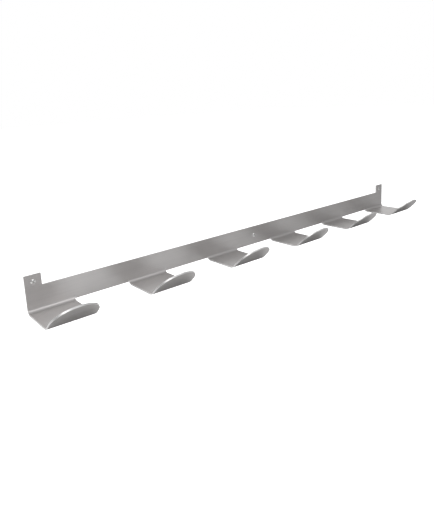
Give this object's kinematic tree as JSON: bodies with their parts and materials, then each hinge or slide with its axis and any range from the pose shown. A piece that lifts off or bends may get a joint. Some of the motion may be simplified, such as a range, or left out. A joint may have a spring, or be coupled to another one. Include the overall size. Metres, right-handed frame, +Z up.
{
  "type": "wall hook rack",
  "caption": "Wall rack of folded stainless sheet: a flat rail with fixing ears and wide shelf hooks, each ending in a round upturned lip, held by raised countersunk screws.",
  "frame": {"origin": "axis of the middle fixing hole, on the wall plane (the back of the rail)", "axes": "+X along the rail to the right as seen from the room, +Y into the wall, +Z up; the hooks stand out towards -Y"},
  "size_m": [1, 0.1298, 0.065],
  "materials": {
    "sheet": "satin brushed stainless steel, grain along the rail",
    "screw": "polished stainless steel"
  },
  "bodies": {
    "root": {"rack_sheet": "sheet", "screw_left": "screw", "screw_middle": "screw", "screw_right": "screw"}
  },
  "joints": []
}
